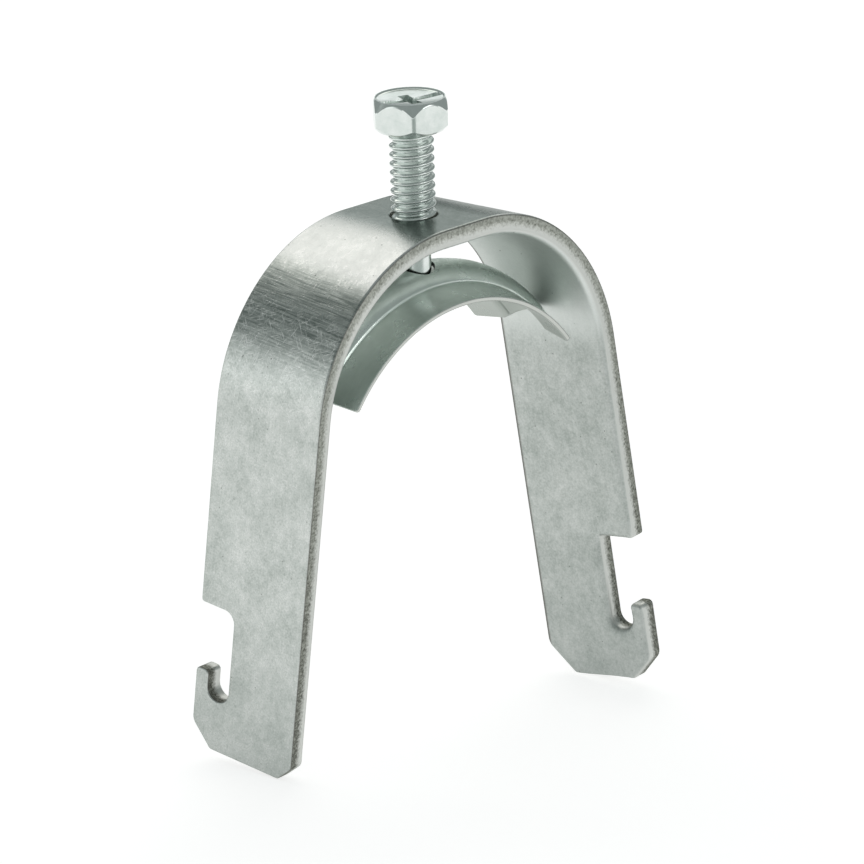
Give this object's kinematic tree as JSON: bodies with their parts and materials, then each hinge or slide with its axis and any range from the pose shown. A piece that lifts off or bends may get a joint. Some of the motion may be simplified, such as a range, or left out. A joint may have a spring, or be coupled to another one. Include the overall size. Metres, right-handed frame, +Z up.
{
  "type": "strut clamp",
  "caption": "Bent steel strap with hooked feet and a screw that presses an arched saddle, clamping round conduit across a slotted strut channel.",
  "frame": {"origin": "on the screw axis, level with the lowest corner of the strap's feet", "axes": "+Z up along the screw towards its head, +X along the strut, +Y along the held conduit"},
  "size_m": [0.061, 0.0326, 0.0914],
  "materials": {
    "galvanised_strip": "mill-galvanised, dull and mottled",
    "zinc_plated_sheet": "zinc-plated, satin",
    "zinc_plated_screw": "zinc-plated, bright"
  },
  "bodies": {
    "strap": {"strap": "galvanised_strip"},
    "saddle": {"saddle": "zinc_plated_sheet"},
    "bolt": {"bolt": "zinc_plated_screw"}
  },
  "joints": [
    {"name": "saddle_travel", "type": "slide", "parent": "strap", "child": "saddle", "axis": [0, 0, 1], "range_m": [-0.01192, 0.0004]},
    {"name": "bolt_turn", "type": "hinge", "parent": "saddle", "child": "bolt", "pos_m": [0, 0, 0.0748], "axis": [0, 0, 1], "range_deg": [-3380, 114]}
  ],
  "couplings": [
    {"joint": "bolt_turn", "follows": "saddle_travel", "rad_per_m": 4947.4}
  ]
}
